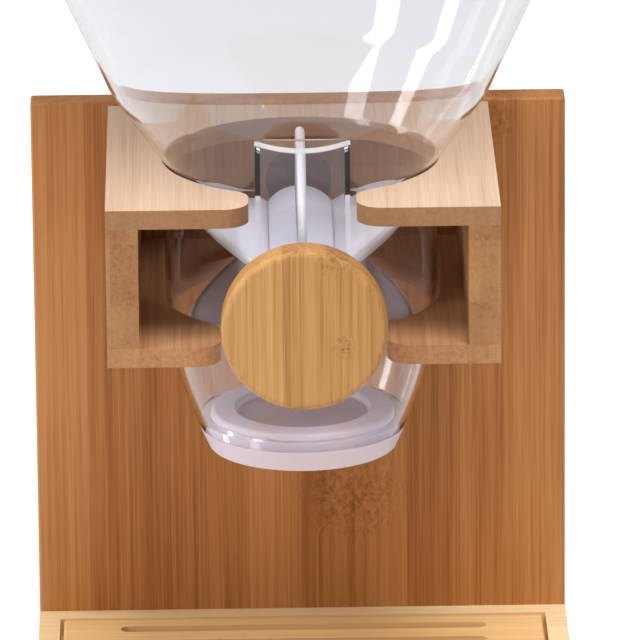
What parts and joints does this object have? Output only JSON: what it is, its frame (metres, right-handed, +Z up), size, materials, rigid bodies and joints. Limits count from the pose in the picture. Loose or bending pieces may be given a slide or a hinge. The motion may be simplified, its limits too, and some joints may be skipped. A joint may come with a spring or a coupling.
{
  "type": "cereal dispenser",
  "caption": "Countertop cereal dispenser: a clear hopper with a hand-turned paddle rotor, held in a bamboo stand over a slotted crumb tray.",
  "frame": {"origin": "on the floor, under the hopper's upright axis, which is the middle of the footprint's bounding box", "axes": "+X to the right seen from the knob side, +Y towards the back board (the knob faces -Y), +Z up"},
  "size_m": [0.19, 0.19, 0.3973],
  "materials": {
    "bamboo_board": "oiled, satin",
    "bamboo_base": "oiled, satin",
    "bamboo_tray": "oiled, satin",
    "bamboo_shelf": "oiled, satin",
    "bamboo_wall": "oiled, satin",
    "bamboo_knob": "oiled, satin",
    "bamboo_lid": "oiled, satin",
    "clear_plastic": "clear, polished",
    "white_plastic": "moulded, satin",
    "vane_silicone": "milky silicone",
    "cap_plastic": "moulded, satin",
    "seal_silicone": "milky silicone",
    "shaft_steel": "turned",
    "screw_steel": "zinc plated",
    "insert_brass": "turned",
    "foot_rubber": "moulded"
  },
  "bodies": {
    "stand": {"back_board": "bamboo_board", "base_floor": "bamboo_base", "base_rail_left": "bamboo_base", "base_rail_right": "bamboo_base", "base_rail_front": "bamboo_base", "base_rail_back": "bamboo_base", "base_ledge_left": "bamboo_base", "base_ledge_right": "bamboo_base", "rubber_feet": "foot_rubber", "shelf_top_plate": "bamboo_shelf", "shelf_bottom_plate": "bamboo_shelf", "shelf_wall_left": "bamboo_wall", "shelf_wall_right": "bamboo_wall", "shelf_screws": "screw_steel", "base_screws": "screw_steel"},
    "tray": {"crumb_tray": "bamboo_tray"},
    "hopper_unit": {"hopper": "clear_plastic", "front_bush": "white_plastic", "rear_bush": "white_plastic"},
    "rotor": {"shaft": "shaft_steel", "rotor_hub": "white_plastic", "rotor_vane_1": "vane_silicone", "rotor_vane_2": "vane_silicone", "rotor_vane_3": "vane_silicone", "rotor_vane_4": "vane_silicone", "rotor_vane_5": "vane_silicone", "rotor_vane_6": "vane_silicone", "knob": "bamboo_knob", "knob_insert": "insert_brass"},
    "cap": {"outlet_cap": "cap_plastic"},
    "lid": {"lid_disc": "bamboo_lid", "lid_plug": "bamboo_lid", "lid_seal": "seal_silicone", "lid_screws": "screw_steel"}
  },
  "joints": [
    {"name": "hopper_lift", "type": "slide", "parent": "stand", "child": "hopper_unit", "axis": [0, 0, 1], "range_m": [0, 0.12]},
    {"name": "rotor_turn", "type": "hinge", "parent": "hopper_unit", "child": "rotor", "pos_m": [0, 0, 0.1733], "axis": [0, -1, 0], "continuous": true},
    {"name": "cap_pull", "type": "slide", "parent": "hopper_unit", "child": "cap", "axis": [0, 0, -1], "range_m": [0, 0.03]},
    {"name": "lid_lift", "type": "slide", "parent": "hopper_unit", "child": "lid", "axis": [0, 0, 1], "range_m": [0, 0.03]},
    {"name": "tray_lift", "type": "slide", "parent": "stand", "child": "tray", "axis": [0, 0, 1], "range_m": [0, 0.03]}
  ]
}
